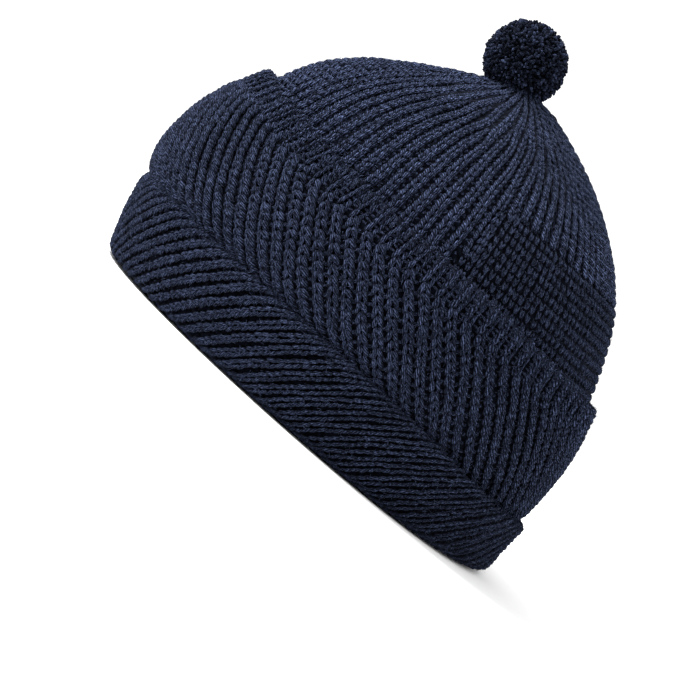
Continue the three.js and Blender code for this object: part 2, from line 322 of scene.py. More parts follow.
class Face:
    """A knit face as tables of points and normals, by angle and by distance along it."""

    def __init__(self, points, low, reach, flip):
        self.points = points
        self.low = low
        self.reach = reach
        step_along = np.gradient(points, axis=0)
        step_around = (np.roll(points, -1, axis=1) - np.roll(points, 1, axis=1)) / 2
        self.metric_along = np.linalg.norm(step_along, axis=-1) / ALONG_STEP
        self.metric_around = np.linalg.norm(step_around, axis=-1) / (TURN / COLUMNS)
        self.normals = unit(np.cross(step_around, step_along)) * (-1 if flip else 1)

    def sample(self, table, angle, along):
        x = (angle % TURN) / TURN * COLUMNS
        y = np.clip((along - self.low) / ALONG_STEP, 0, len(table) - 1.001)
        i, j = np.floor(x).astype(int), np.floor(y).astype(int)
        p, q = x - i, y - j
        if table.ndim == 3:
            p, q = p[..., None], q[..., None]
        i %= COLUMNS
        k = (i + 1) % COLUMNS
        return lerp(lerp(table[j, i], table[j, k], p), lerp(table[j + 1, i], table[j + 1, k], p), q)

    def around(self, angle, along):
        """Length of one radian round the cap."""
        return self.sample(self.metric_around, angle, along)

    def end(self, angle):
        """Distance along the face at which it ends."""
        return np.interp(angle % TURN, ANGLES, self.reach, period=TURN)

    def place(self, angle, along, out):
        return self.sample(self.points, angle, along) + (
            unit(self.sample(self.normals, angle, along)) * out[..., None]
        )


def distances(lines):
    """Distances along lines of points, which run down the table."""
    steps = np.linalg.norm(np.diff(lines, axis=0), axis=-1)
    return np.vstack([np.zeros(COLUMNS), np.cumsum(steps, axis=0)])


def tier_face(heights, outs, edge):
    """A turned-up tier's face, from a few lines of heights and distances out. Distances along it grow
    downward from line number edge, its top edge."""
    fine = np.linspace(0, len(heights) - 1, 12 * len(heights))
    at = np.minimum(fine.astype(int), len(heights) - 2)
    t = (fine - at)[:, None]
    heights, outs = (lerp(v[at], v[at + 1], t) for v in (np.array(heights), np.array(outs)))
    lines = layer_point(heights, ANGLES[None, :], outs)
    length = distances(lines)
    length -= length[np.searchsorted(fine, edge)]
    along = np.arange(length[0].max(), length[-1].max(), ALONG_STEP)
    points = np.empty((len(along), COLUMNS, 3))
    for c in range(COLUMNS):
        for axis in range(3):
            points[:, c, axis] = np.interp(along, length[:, c], lines[:, c, axis])
    return Face(points, along[0], length[-1], flip=True)


def lip_lines(top, lip, crest, inner, outer):
    """Lines over a tier's rounded top edge, from its inner face to its outer one, and the edge's number."""
    highest = lerp(inner, outer, crest)
    inside = [math.radians(d) for d in range(0, 90, 15)]
    outside = [math.radians(d) for d in range(90, -1, -15)]
    heights = [top - lip / 2 * (1 - math.sin(d)) for d in inside]
    heights += [top - lip * (1 - math.sin(d)) for d in outside]
    outs = [lerp(highest, inner, math.cos(d)) for d in inside]
    outs += [lerp(highest, outer, math.cos(d)) for d in outside]
    return heights, [np.full(COLUMNS, v) for v in outs], len(inside)


def cuff_face():
    """The cuff's face. At the forehead its top edge is rounder and its wall lies nearer the head."""
    back = to_nape(ANGLES)
    shift = {name: lerp(front, nape, back) for name, (front, nape) in CUFF_SHIFTS.items()}
    wall, bend = CUFF_OUT - shift["drop"], fold_round(ANGLES)
    top = tier_height(CUFF_TOP, ANGLES) + shift["rise"]
    crest = lerp(CUFF_CREST["front"], CUFF_CREST["back"], smooth(back, 0.6, 1))
    heights, outs, edge = lip_lines(top, shift["lip"], crest, CUFF_IN, wall - shift["tuck"])
    heights = [top - TURNED_IN] + heights
    outs = [np.full(COLUMNS, CUFF_IN)] + outs
    for share in (0.62, 0.5, 0.38, 0.25):
        heights.append(lerp(bend, top, share))
        outs.append(wall - shift["waist"] * smooth(share, 0.4, 0.75))
    for degrees in range(0, 91, 15):
        turn = math.radians(degrees)
        heights.append(bend * (1 - math.sin(turn)))
        outs.append(wall - bend * (1 - math.cos(turn)))
    for height, out in ((0, FOLD_INSET), (FOLD_INSET, 0), (FOLD_WALL, 0)):
        heights.append(np.full(COLUMNS, float(height)))
        outs.append(np.full(COLUMNS, out - CROWN_WALL))
    return tier_face(heights, outs, edge + 1)


def band_face():
    """The band's face, which goes on a little behind the cuff."""
    top, low = tier_height(BAND_TOP, ANGLES), tier_height(CUFF_TOP, ANGLES)
    heights, outs, edge = lip_lines(top, BAND_LIP, BAND_CREST, BAND_IN, BAND_OUT + EDGE_ROLL)
    heights = [top - TURNED_IN] + heights
    outs = [BAND_IN + puff(heights[0], ANGLES)] + outs
    for share in (0.86, 0.8, 0.7, 0.6, 0.5, 0.4, 0.3, 0.22, 0.16, 0.1, 0.05, 0.02, 0):
        height = lerp(low, top, share)
        foot = smooth(np.sin(ANGLES), 0.5, 1) * (1 - smooth(share, 0, 0.25))
        heights.append(height)
        outs.append(BAND_OUT + puff(height, ANGLES) + BAND_FOOT * foot)
    heights.append(low - 0.006)
    outs.append(np.full(COLUMNS, BAND_OUT))
    return tier_face(heights, outs, edge + 1)


def crown_face():
    """The crown's outer face above CROWN_START. Its distances are the mean ones up from there."""
    rows = np.linspace(np.interp(CROWN_START, HEIGHTS, ROWS), TOP_ROW, 900)
    length = distances(crown_point(rows[:, None], ANGLES[None, :])).mean(axis=1)
    along = np.arange(0, length[-1], ALONG_STEP)
    rows = np.interp(along, length, rows)
    points = crown_point(rows[:, None], ANGLES[None, :])
    return Face(points, 0.0, np.full(COLUMNS, along[-1]), flip=False)


# Small shapes that are laid many times


class Grain:
    """A rounded grain as a bmesh ball, told by its place along its length and round it."""

    def __init__(self, sides, rings, fullness):
        bm = bmesh.new()
        bmesh.ops.create_uvsphere(bm, u_segments=sides, v_segments=rings, radius=1)
        bmesh.ops.rotate(bm, verts=bm.verts, matrix=Matrix.Rotation(math.radians(-90), 3, "Z"))
        bm.verts.ensure_lookup_table()
        at = np.array([v.co[:] for v in bm.verts])
        around = np.hypot(at[:, 0], at[:, 1])
        pole = around <= 1e-6
        self.s = at[:, 2]
        self.cos, self.sin = (np.where(pole, 0, at[:, k] / np.maximum(around, 1e-6)) for k in (0, 1))
        self.thick = (1 - np.abs(self.s) ** fullness) ** 0.5
        # Sorted, because a ball's faces come in an order that differs from run to run
        faces = sorted([v.index for v in f.verts] for f in bm.faces)
        self.sizes = np.array([len(f) for f in faces])
        self.loops = np.array([k for f in faces for k in f])
        turn = (np.arctan2(at[:, 1], at[:, 0]) / TURN + 0.25) % 1
        uv = []
        for f in faces:
            around_face = [turn[k] for k in f if not pole[k]]
            if max(around_face) - min(around_face) > 0.5:
                around_face = [t + (t < 0.5) for t in around_face]
            middle = sum(around_face) / len(around_face)
            for k in f:
                t = middle if pole[k] else turn[k]
                t += 1 if middle - t > 0.5 else 0
                uv.append((t, (at[k, 2] + 1) / 2))
        self.uv = np.array(uv)
        bm.free()


class Fibre:
    """A thin three-sided spike: three corners at its root and one at its tip."""

    loops = np.array([0, 1, 3, 1, 2, 3, 2, 0, 3, 2, 1, 0])
    sizes = np.array([3, 3, 3, 3])
    uv = np.array([(k / 3, float(k == 3)) for k in loops])


LEG = Grain(5, 5, 2.6)
BAR = Grain(5, 4, 2.4)
YARN_END = Grain(5, 4, 6.0)


def add_object(name, data):
    piece = bpy.data.objects.new(name, data)
    bpy.context.scene.collection.objects.link(piece)
    return piece


def add_bmesh(name, bm):
    """An object of a bmesh, which is freed."""
    mesh = bpy.data.meshes.new(name)
    bm.to_mesh(mesh)
    bm.free()
    return add_object(name, mesh)


def join_grains(name, grain, places, grooves, tones):
    """One object of many grains. places is an array of their points, a row for each grain, and grooves
    tells how near to a groove between two ribs each point lies, and with dim how much painted shade it takes."""
    count, size = places.shape[:2]
    loops = (grain.loops[None, :] + np.arange(count)[:, None] * size).ravel()
    sizes = np.tile(grain.sizes, count)
    mesh = bpy.data.meshes.new(name)
    mesh.vertices.add(count * size)
    mesh.vertices.foreach_set("co", places.reshape(-1).astype(np.float32))
    mesh.loops.add(len(loops))
    mesh.loops.foreach_set("vertex_index", loops.astype(np.int32))
    mesh.polygons.add(len(sizes))
    mesh.polygons.foreach_set("loop_start", np.concatenate([[0], np.cumsum(sizes)[:-1]]).astype(np.int32))
    mesh.polygons.foreach_set("use_smooth", np.ones(len(sizes), bool))
    uv = np.tile(grain.uv, (count, 1)).ravel().astype(np.float32)
    mesh.uv_layers.new(name="yarn").data.foreach_set("uv", uv)
    for attribute, values in (("tone", np.repeat(tones, size)), ("groove", grooves.reshape(-1))):
        data = mesh.attributes.new(attribute, "FLOAT", "POINT").data
        data.foreach_set("value", values.astype(np.float32))
    mesh.update(calc_edges=True)
    mesh.validate()
    return add_object(name, mesh)


def lay(face, grain, spots):
    """Points of one grain for each row of spots, laid on the face. A spot's lean is its turn from straight
    down or up the face, and middle and spread give its line: how far from the rib's middle it lies, and
    how much further its far end goes than its near one."""
    s, cos, sin, thick = (v[None, :] for v in (grain.s, grain.cos, grain.sin, grain.thick))
    get = lambda name: spots[name][:, None]
    angle, along, lean, side = get("angle"), get("along"), get("lean"), get("side")
    half, radius, lift = get("half"), get("radius"), get("lift")
    slope = get("spread") / half
    across = side * (get("middle") + get("spread") * s) + radius * thick * cos
    forward = half * s - side * slope * radius * thick * cos
    near = np.clip(get("peak") - s, 0, None)
    far = np.clip(s - get("peak"), 0, None)
    out = lift - get("near_drop") * near**2 - get("far_drop") * far**2 + get("flat") * radius * thick * sin
    out = out - get("round") * across**2
    step_along = forward * np.cos(lean) - across * np.sin(lean)
    step_along = step_along / face.sample(face.metric_along, angle, along)
    step_around = (forward * np.sin(lean) + across * np.cos(lean)) / face.around(angle, along)
    # Painted shade: legs darken toward the rib's edge at rim, where the grooves between ribs lie, and by dim
    # on top of that.
    groove = np.clip(smooth(np.abs(across), 0.62 * get("rim"), get("rim")) + get("dim"), 0, 1)
    return face.place(angle + step_around, along + step_along, out), groove


def stray_fibres(name, face, shows, low, count, seed):
    """Loose ends of wool that lean over the stitches, from the distance low on. shows tells which of their
    places are kept."""
    rng = steady(seed)
    angle = rng.random(count) * TURN
    along = lerp(low, face.end(angle) - 0.001, rng.random(count))
    around = face.around(angle, along)
    root = face.place(angle, along, np.full(count, -0.0005))
    wanted = (rng.random(count) < around / around.max()) & shows(root, angle)
    normal = unit(face.sample(face.normals, angle, along))
    aside = unit(np.cross(normal, rng.normal(size=(count, 3))))
    heading = unit(aside + normal * lerp(FUZZ["flat"], FUZZ["upright"], rng.random(count))[:, None])
    tip = root + heading * lerp(FUZZ["short"], FUZZ["long"], rng.random(count))[:, None]
    wanted &= (tip[:, 2] > 0.0004) & (root[:, 2] > 0.0010)
    wide = unit(np.cross(heading, normal))
    deep = np.cross(heading, wide)
    corners = [
        root + FUZZ["thick"] * (math.cos(turn) * wide + math.sin(turn) * deep)
        for turn in (0, TURN / 3, 2 * TURN / 3)
    ]
    places = np.stack([*corners, tip], axis=1)[wanted]
    return join_grains(name, Fibre, places, np.zeros(places.shape[:2]), rng.random(len(places)))


# Materials


class Wire:
    """A shader socket that sums and products can be written with."""

    def __init__(self, shade, socket):
        self.shade = shade
        self.socket = socket

    def __add__(self, other):
        return self.shade.maths("ADD", self, other)

    __radd__ = __add__

    def __sub__(self, other):
        return self.shade.maths("SUBTRACT", self, other)

    def __rsub__(self, other):
        return self.shade.maths("SUBTRACT", other, self)

    def __mul__(self, other):
        return self.shade.maths("MULTIPLY", self, other)

    __rmul__ = __mul__


class Shade:
    """A material's nodes."""

    def __init__(self, name):
        self.material = bpy.data.materials.new(name)
        self.material.use_nodes = True
        self.tree = self.material.node_tree
        self.tree.nodes.clear()

    def node(self, kind, sockets=(), **settings):
        """Adds a node: its type, the values or links of its sockets by number or name, and its settings."""
        new = self.tree.nodes.new(kind)
        for name, value in settings.items():
            setattr(new, name, value)
        for name, value in sockets.items() if isinstance(sockets, dict) else enumerate(sockets):
            if isinstance(value, Wire):
                self.tree.links.new(value.socket, new.inputs[name])
            else:
                new.inputs[name].default_value = value
        return [Wire(self, socket) for socket in new.outputs]

    def place(self):
        return self.node("ShaderNodeTexCoord")[3]

    def uv(self, name):
        return self.node("ShaderNodeSeparateXYZ", self.node("ShaderNodeUVMap", uv_map=name)[:1])[:2]

    def attribute(self, name):
        return self.node("ShaderNodeAttribute", attribute_name=name)[2]

    def vector(self, *values):
        return self.node("ShaderNodeCombineXYZ", values)[0]

    def maths(self, operation, *values):
        return self.node("ShaderNodeMath", values, operation=operation)[0]

    def mix(self, factor, first, second, blend="MIX"):
        sockets = {0: factor, 6: first, 7: second}
        return self.node("ShaderNodeMix", sockets, data_type="RGBA", blend_type=blend)[2]

    def dimmed(self, color, level):
        grey = self.node("ShaderNodeCombineColor", [level] * 3)[0]
        return self.mix(1.0, color, grey, "MULTIPLY")

    def noise(self, vector, scale, detail=2.0, roughness=0.5):
        sockets = {"Vector": vector, "Scale": scale, "Detail": detail, "Roughness": roughness}
        return self.node("ShaderNodeTexNoise", sockets)[0]

    def between(self, value, low, high):
        """0 below low and 1 above high."""
        sockets = {"Value": value, "From Min": low, "From Max": high}
        return self.node("ShaderNodeMapRange", sockets, interpolation_type="SMOOTHSTEP")[0]

    def finish(self, color, roughness, height, bump, shader):
        """The surface, from its colour, roughness and relief, and the fixed values of its shader."""
        normal = self.node("ShaderNodeBump", {"Height": height, "Distance": bump, "Strength": 1.0})[0]
        sockets = {"Base Color": color, "Roughness": roughness, "Normal": normal, **shader}
        surface = self.node("ShaderNodeBsdfPrincipled", sockets)[0]
        self.node("ShaderNodeOutputMaterial", {"Surface": surface})
        return self.material


def colour(values, share=1.0):
    return (*(share * v for v in values), 1.0)


def yarn_material(name, base, fleck, shadow, twist, pale):
    """Plied wool: strands that wind round the yarn, streaks of fibre along them and pale flecks, with painted
    shade between the strands and on the legs' flanks, ends and groove sides.
    """
    shade = Shade(name)
    u, v = shade.uv("yarn")
    tone, groove, place = shade.attribute("tone"), shade.attribute("groove"), shade.place()
    wound = u * 7 + v * twist
    strands = shade.maths("SINE", wound * TURN) * 0.5 + 0.5
    along = shade.vector(wound, v * 2.6, tone * 91)
    streaks = shade.noise(along, 1.0, 2.0, 0.6)
    fluff = shade.noise(along, 3.5, 2.0, 0.6)
    cloud = shade.noise(place, 45.0, 2.0)
    specks = shade.noise(place, 1500.0, 1.0)
    # Painted shade: each leg is darkened on its flanks, toward its ends where it goes under the next stitch,
    # and by the groove attribute near the grooves between ribs.
    flank = shade.between(shade.maths("ABSOLUTE", u - 0.5), 0.1, 0.27)
    deep = shade.between(shade.maths("ABSOLUTE", v - 0.42), 0.26, 0.5)
    fine = shade.vector(u * 17 + v * (twist * 2.2), v * 3.6, tone * 57)
    dashes = shade.between(shade.noise(fine, 1.0, 1.0), 0.4, 0.62)
    sharp = shade.between(specks, 0.38, 0.62)
    lit = strands * 0.45 + streaks * 0.5 + dashes * 0.35 + specks * 0.8
    # The shadow colour between the strands is painted shade. The flecks are heather in the wool, and also a
    # painted highlight where they gather on the strands' crests.
    body = shade.mix(shade.between(lit, 0.75, 1.15), colour(shadow), colour(base))
    heathered = shade.mix(shade.between(lit + fluff * 0.3, 1.2, 1.55), body, colour(fleck))
    open_to_light = (1 - flank * 0.35) * (1 - deep * 0.6) * (1 - groove * 0.6)
    grain = 0.7 + dashes * 0.24 + sharp * 0.2
    # pale is a painted light level for the whole material: the crown's copy is painted lighter, the band's
    # and cuff's copy darker.
    tone_and_painted_shade = shade.dimmed(heathered, (0.75 + cloud * 0.35 + tone * 0.3) * pale * open_to_light * grain)
    relief = strands * 0.6 + streaks * 0.5 + fluff * 0.25 + specks * 0.4
    return shade.finish(tone_and_painted_shade, 0.82 + fluff * 0.15, relief, 0.0009, WOOL)


def backing_material(name, base, shadow):
    """The layer behind the stitches, which is dark, with its darkness painted shade in the gaps between the
    ribs, and the inside of the cap, in the same wool.
    """
    shade = Shade(name)
    u, v = shade.uv("knit")
    place, inside = shade.place(), shade.attribute("inside")
    across = shade.maths("PINGPONG", u, 0.5)
    legs_seen = shade.maths("SINE", (v + across * 1.4) * TURN) * 0.5 + 0.5
    ribs = shade.maths("SINE", (u * 2 - 0.25) * TURN) * 0.5 + 0.5
    fibres = shade.noise(place, 900.0, 3.0, 0.7)
    cloud = shade.noise(place, 60.0, 2.0)
    body = shade.mix(shade.between(legs_seen * 0.5 + fibres * 0.5, 0.2, 0.8), colour(shadow), colour(base))
    # Painted shade: the outer face, seen in the gaps between the ribs, is darkened to a fifth; the inside of
    # the cap is not.
    tone_and_painted_shade = shade.dimmed(body, (0.65 + cloud * 0.5) * (0.2 + inside * 0.8))
    relief = legs_seen * 0.7 + fibres * 0.3 + ribs * 0.2
    return shade.finish(tone_and_painted_shade, 0.88 + fibres * 0.1, relief, 0.0008, WOOL)


def tuft_material(name, base, fleck, shadow, centre, radius):
    """Cut yarn ends: dark at the root, where shade is painted, and paler and fuzzy at the tip."""
    shade = Shade(name)
    u, v = shade.uv("yarn")
    tone = shade.attribute("tone")
    offset = shade.node("ShaderNodeVectorMath", [shade.place(), tuple(centre)], operation="SUBTRACT")[0]
    reach = shade.node("ShaderNodeVectorMath", [offset], operation="LENGTH")[1]
    # tip is 0 deep in the ball and 1 at the tips; the shadow colour below it is painted shade.
    tip = shade.between(reach, radius * 0.88, radius * 1.01)
    fibres = shade.noise(shade.vector(u * 9 + v * 2, v * 2, tone * 91), 1.6, 3.0, 0.6)
    body = shade.mix(tip, colour(shadow), colour(base))
    pale = shade.between(fibres + tone * 0.15, 0.55, 0.75) * tip
    heathered = shade.mix(pale * 0.8, body, colour(fleck))
    return shade.finish(shade.dimmed(heathered, 0.2 + tone * 0.85), 0.85 + fibres * 0.1, fibres, 0.0003, WOOL)


def fuzz_material(name, tint):
    """Single fibres, painted paler than the yarn as painted light, which stands in for the light they let
    through.
    """
    shade = Shade(name)
    tone, grain = shade.attribute("tone"), shade.noise(shade.place(), 300.0, 2.0)
    pale = shade.mix(tone * 0.6 + grain * 0.4, colour(tint, 0.5), colour(tint, 1.4))
    return shade.finish(pale, 0.9 + grain * 0.08, grain, 0.00002, WOOL)


def floor_material(name, tint):
    shade = Shade(name)
    grain = shade.noise(shade.place(), 300.0, 2.0)
    paper = shade.mix(grain, colour(tint, 0.97), colour(tint))
    return shade.finish(paper, 0.9 + grain * 0.05, grain, 0.00002, {"Specular IOR Level": 0.1})


def once(name, make, *values):
    """The material of that name, which is made when it is first asked for."""
    return bpy.data.materials.get(name) or make(name, *values)


def wool_material(name, twist, pale):
    colours = bpy.context.scene.cap_colours
    return once(name, yarn_material, colours.wool, colours.fleck, colours.shadow, twist, pale)


# Settings


def length_property(name, description, default):
    return FloatProperty(name=name, description=description, default=default, unit="LENGTH")


def angle_property(name, description, degrees):
    return FloatProperty(name=name, description=description, default=math.radians(degrees), subtype="ANGLE")


def place_property(name, description, default):
    return FloatVectorProperty(
        name=name, description=description, default=default, subtype="TRANSLATION", unit="LENGTH", size=3
    )


def colour_property(name, description, default):
    return FloatVectorProperty(
        name=name, description=description, default=default, subtype="COLOR", size=3, min=0, max=1
    )


class KnitSettings(bpy.types.PropertyGroup):
    ribs: IntProperty(name="Ribs", description="Ribs round the cap", default=84, min=12)
    stitch: length_property("Stitch", "Height of one stitch along its rib", 0.0039)
    cuff_lean: angle_property("Cuff lean", "Turn of the cuff's ribs from upright", 52)
    band_lean: angle_property("Band lean", "Turn of the band's ribs from upright", -38)
    edge_lean: angle_property("Edge lean", "Turn of the band's ribs near its top edge", 8)
    band_bend: length_property("Band bend", "Distance of the ribs' bend below the band's top edge", 0.0175)
    unevenness: FloatProperty(
        name="Unevenness", description="How much stitches differ, as a share", default=0.07, min=0, max=0.3
    )


class ColourSettings(bpy.types.PropertyGroup):
    wool: colour_property("Wool", "Main colour of the yarn", (0.0098, 0.0132, 0.0279))
    # The flecks are heather, and a painted highlight where they gather on the strands' crests.
    fleck: colour_property("Fleck", "Colour of the paler fibres", (0.060, 0.079, 0.152))
    shadow: colour_property("Shadow", "Colour between the strands", (0.0018, 0.0024, 0.0054))
    # Painted light: the fibres are paler than the wool, standing in for light through them.
    fuzz: colour_property("Fuzz", "Colour of single loose fibres", (0.085, 0.107, 0.185))
    floor: colour_property("Floor", "Colour of the floor", (0.97, 0.97, 0.97))


class PompomSettings(bpy.types.PropertyGroup):
    radius: length_property("Radius", "From its middle to the tips", 0.0198)
    lean: angle_property("Lean", "Turn forward of upright", 58)
    sink: length_property("Sink", "How far it settles into the gather", 0.0044)
    ends: IntProperty(name="Yarn ends", description="Cut ends that show", default=2600, min=100)
    yarn: length_property("Yarn", "Radius of one yarn end", 0.00058)


class StudioSettings(bpy.types.PropertyGroup):
    camera: place_property("Camera", "Place of the camera", (1.1, 0.0072, 0.101))
    target: place_property("Target", "Point in the middle of the view", (0.0, 0.0074, 0.0377))
    lens: FloatProperty(name="Lens", description="Focal length in millimetres", default=123.3)
    roll: angle_property("Roll", "Turn of the camera about its own axis", 41.2)
    key: FloatProperty(name="Key", description="Power of the soft key light", default=59.0, unit="POWER")
    sky: FloatProperty(name="Sky", description="Strength of the white surroundings", default=1.3)


# Stitches


def grid(first, second):
    a, b = np.meshgrid(first, second, indexing="ij")
    return a.ravel(), b.ravel()


def keep(spots, wanted):
    return {name: values[wanted] for name, values in spots.items()}


def pair(values):
    """The same values for both legs of each stitch."""
    return np.concatenate([values, values])


def tier_courses(tier, high, depth):
    """Distances of a tier's courses up to high, where depth gives a course's depth at a distance."""
    rows = [TIERS[tier]["start"]]
    while rows[-1] < high:
        rows.append(rows[-1] + depth(rows[-1]))
    return np.array(rows)


def spots_of(count, **values):
    """Spots for lay, from one value or one for each spot. What isn't given is 0."""
    names = (
        "angle", "along", "lean", "side", "half", "radius", "lift", "middle", "spread", "peak",
        "near_drop", "far_drop", "flat", "round", "rim", "dim",
    )
    return {name: np.array(np.broadcast_to(values.get(name, 0.0), count), float) for name in names}


def rough(rng, count):
    """Random steps to either side, none of them long."""
    return rng.normal(size=count).clip(-2, 2)


def shape_of_legs(first, *changes):
    """A shape from LEGS, which goes over into others by the share that comes with each."""
    shape = LEGS[first]
    for name, share in changes:
        shape = {key: lerp(value, LEGS[name][key], share) for key, value in shape.items()}
    return shape


def legs(places, shape, half, lift, rng):
    """The two legs of each stitch, as spots. shape gives shares of the width of each place's rib, its
    cell, and half is a share of a stitch's height."""
    knit = bpy.context.scene.cap_knit
    angle = pair(places["angle"])
    count = len(angle)
    both = lambda v: pair(np.broadcast_to(v, count // 2))
    vary = lambda: 1 + knit.unevenness * rough(rng, count)
    along = pair(places["along"]) + knit.stitch * 0.05 * rough(rng, count)
    lean = pair(places["lean"]) + 0.05 * rough(rng, count)
    cell = pair(places["cell"])
    middle = cell * both(shape["middle"])
    spread = cell * both(shape["spread"]) * vary()
    radius = cell * both(shape["radius"]) * vary()
    half = knit.stitch * both(half) * vary()
    lift = both(lift) - radius + 0.0001 * rough(rng, count)
    # rim, the rib's outer edge, is where the painted shade near the grooves is fullest.
    return spots_of(
        count, angle=angle, along=along, lean=lean, side=np.where(np.arange(count) < count / 2, 1, -1),
        middle=middle, spread=spread, radius=radius, half=half, lift=lift, peak=-0.3, near_drop=0.0009,
        far_drop=0.0004, flat=0.95, round=200.0, rim=middle + spread + radius,
    )


def bars(places, share, radius, lift, rng):
    """Purl bumps, as spots that lie across the ribs. share is half of a bump's length, as a share of the
    rib's width."""
    knit = bpy.context.scene.cap_knit
    count = len(places["angle"])
    along = places["along"] + knit.stitch * 0.05 * rough(rng, count)
    lean = places["lean"] + np.pi / 2 + 0.12 * rough(rng, count)
    half = places["cell"] * share * (1 + knit.unevenness * rough(rng, count))
    # The bumps take painted shade through dim, as they lie deep in the gaps between the ribs.
    return spots_of(
        count, angle=places["angle"], along=along, lean=lean, side=1, half=half,
        radius=radius * (1 + knit.unevenness * rough(rng, count)), lift=lift - radius,
        near_drop=0.0006, far_drop=0.0006, flat=0.9, rim=1, dim=0.3,
    )


def rib_pitch():
    """The mean angle from one rib to the next."""
    return TURN / bpy.context.scene.cap_knit.ribs


def stray(tier, rib, along):
    """How far a rib strays to either side on its way, as an angle."""
    row = TIERS[tier]
    return row["stray"] * rib_pitch() * np.sin(along * row["pace"] + rib * row["shift"])


def uneven(turn):
    """Ribs lie a little closer together at the forehead and the nape than over the ears."""
    return turn + RIB_SPREAD * np.sin(2 * turn)


def rib_width(face, turn, along):
    step = 0.01
    share = rib_pitch() / step / 2
    return face.around(uneven(turn), along) * (uneven(turn + step) - uneven(turn - step)) * share


def tier_turn(tier, face, along, lean):
    """The angle that a rib has turned through at each distance, from its lean there."""
    fine = np.arange(face.low, face.reach.max() + ALONG_STEP, ALONG_STEP)
    turned = np.concatenate([[0], np.cumsum(np.tan(lean(fine[:-1])) * ALONG_STEP)]) / TIERS[tier]["radius"]
    turned -= np.interp(0, fine, turned)
    return np.interp(along, fine, turned)


def tier_places(tier, face, rib, along, lean):
    """Places of a tier's stitches, which end at its margin before the end of its face."""
    turn = rib * rib_pitch() + tier_turn(tier, face, along, lean)
    turn = turn + stray(tier, rib, along)
    angle = uneven(turn)
    end = face.end(angle)
    places = {"rib": rib, "along": along, "turn": turn, "angle": angle, "end": end, "lean": lean(along)}
    places = keep(places, along < end - TIERS[tier]["margin"])
    places["cell"] = rib_width(face, places["turn"], places["along"]) * np.cos(places["lean"])
    return places


def cuff_stitches():
    """The cuff's face, its stitches and the distances at which its fold starts."""
    knit = bpy.context.scene.cap_knit
    face = cuff_face()
    lean = lambda along: np.full_like(along, -knit.cuff_lean)
    course = lambda along: 0.95 * knit.stitch * math.cos(knit.cuff_lean)
    rib, along = grid(np.arange(knit.ribs), tier_courses("cuff", face.reach.max(), course))
    places = tier_places("cuff", face, rib, along, lean)
    along, fold_start = places["along"], places["end"] - FOLD_LENGTH
    lift = lerp(0.0003, -0.0004, smooth(along, fold_start, fold_start + 0.010))
    nape = smooth(to_nape(places["angle"]), 0.23, 0.66)
    knits = legs(places, shape_of_legs("cuff", ("cuff_nape", nape)), 0.68, lift, steady(3))
    nape = pair(nape)
    lower = nape * (knits["side"] > 0)
    behind = lower * smooth(np.sin(knits["angle"]), 0.45, 0.85)
    knits["lift"] -= 0.0003 * lower + 0.0005 * behind
    # Painted shade on the sunk legs toward the nape.
    knits["dim"] = 0.15 * lower + 0.25 * behind
    knits["round"] = lerp(200.0, 40.0, nape)
    fold = pair(smooth(along, fold_start - 0.004, fold_start + 0.004))
    # rim moves the painted groove shade: less of it at the nape and more round the fold.
    knits["rim"] *= lerp(lerp(1, 1.2, nape), 0.78, fold)
    return face, knits, pair(fold_start)


def band_stitches():
    """The band's face, its stitches and its purl bumps, which lie in rungs above the ribs' bend."""
    knit = bpy.context.scene.cap_knit
    face = band_face()
    rng = steady(5)
    pitch = rib_pitch()

    def lean(along):
        bend = smooth(along, knit.band_bend - 0.004, knit.band_bend + 0.004)
        return -lerp(knit.edge_lean, knit.band_lean, bend)

    def course(along):
        return float(lerp(1, 1.1, smooth(along, 0.01, 0.03)) * knit.stitch * np.cos(lean(np.array(along))))

    at_ends = lambda rib: smooth(np.abs(np.sin(rib * pitch)), 0.35, 0.95)
    rib, along = grid(np.arange(knit.ribs), tier_courses("band", 1.3 * face.reach.max(), course))
    places = tier_places("band", face, rib, along * lerp(1, 0.76, at_ends(rib)), lean)
    ends = at_ends(places["rib"])
    low = smooth(places["along"], knit.band_bend - 0.006, knit.band_bend + 0.003)
    nape = smooth(np.sin(places["angle"]), 0.25, 0.8)
    brow = smooth(-np.sin(places["angle"]), 0.55, 0.9)
    shape = shape_of_legs("band", ("band_nape", nape), ("band_brow", brow), ("band_edge", 1 - low))
    knits = legs(places, shape, lerp(0.76, 0.6, ends), lerp(0.0, 0.0004, low), rng)
    edge = 1 - pair(low)
    sunk = (knits["side"] > 0) * edge
    knits["lift"] -= 0.0010 * sunk
    knits["radius"] *= 1 + 0.18 * edge - 0.24 * sunk
    nape, brow = pair(nape) * (1 - edge), pair(brow) * (1 - edge)
    # Painted shade: less on the groove sides near the top edge and more toward the nape, where dim darkens
    # the legs further.
    knits["rim"] *= 1 + 0.4 * edge - 0.08 * nape
    knits["round"] += 80.0 * nape + 160.0 * brow
    knits["near_drop"] *= 1 - 0.4 * nape
    knits["dim"] = lerp(0.06, 0.16, smooth(np.sin(knits["angle"]), 0.3, 0.9)) * (1 - edge)
    between = {**places, "angle": uneven(places["turn"] + pitch / 2)}
    purls = keep(bars(between, 0.2, 0.0010, lerp(-0.0019, -0.0028, ends), rng), low > 0.6)
    rib, along = grid(np.arange(knit.ribs), np.arange(0.0006, knit.band_bend, 0.0025))
    turn = (rib + 0.5) * pitch + tier_turn("band", face, along, lean)
    rungs = {"along": along, "lean": lean(along), "cell": rib_width(face, turn, along)}
    groups = [purls]
    for aside, share, radius, sink in ((0, 0.19, 0.0006, -0.0008), (-pitch / 2, 0.2, 0.0007, -0.0017)):
        groups.append(bars({**rungs, "angle": uneven(turn + aside)}, share, radius, sink, rng))
    return face, knits, joined(groups)


def joined(groups):
    return {name: np.concatenate([group[name] for group in groups]) for name in groups[0]}


